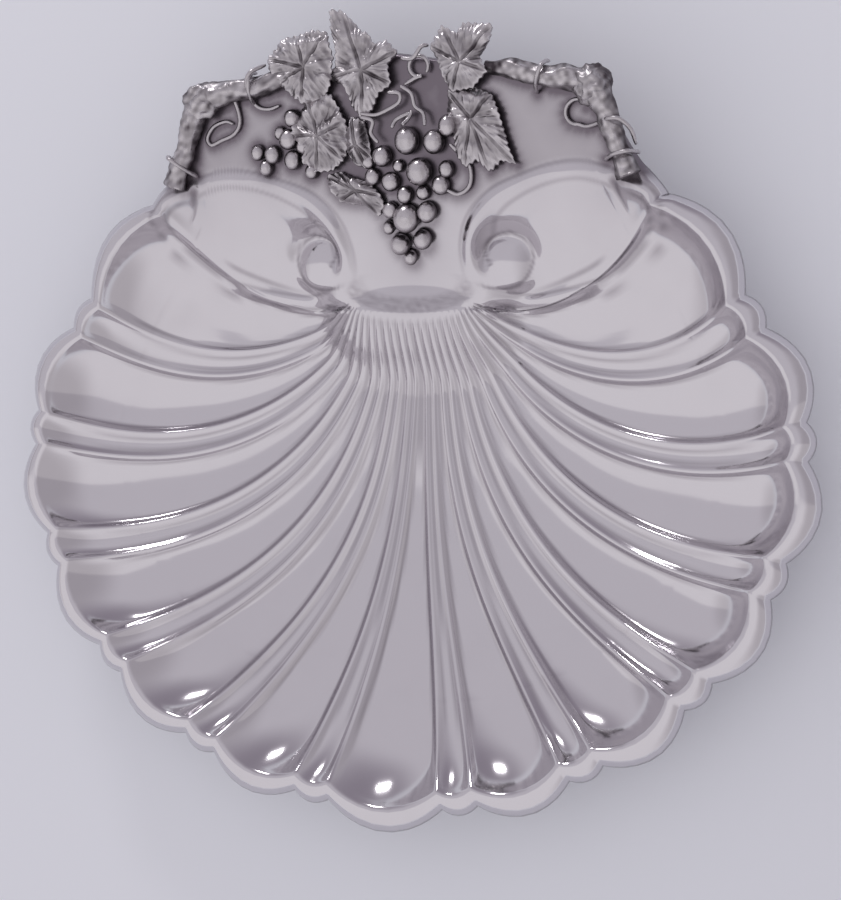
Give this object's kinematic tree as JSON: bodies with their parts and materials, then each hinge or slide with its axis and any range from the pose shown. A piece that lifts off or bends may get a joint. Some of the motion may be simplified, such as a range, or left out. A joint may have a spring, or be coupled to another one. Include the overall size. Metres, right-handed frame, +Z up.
{
  "type": "shell-shaped bowl",
  "caption": "Shallow metal bowl stamped as a fluted scallop shell, with a scalloped turned rim, volutes and a cast grapevine on its back ledge.",
  "frame": {"origin": "on the table, under the middle of the bowl's bounding box", "axes": "+Z up out of the bowl, +Y towards the shell's hinge and the grapevine, +X to the right when the vine is at the top"},
  "size_m": [0.3408, 0.3272, 0.0572],
  "materials": {
    "polished_silver": "polished silver plate with fine scratches",
    "oxidised_silver": "cast and plated, darkened in the hollows, bright on the high places"
  },
  "bodies": {
    "root": {"shell_bowl": "polished_silver", "grapevine_casting": "oxidised_silver"}
  },
  "joints": []
}
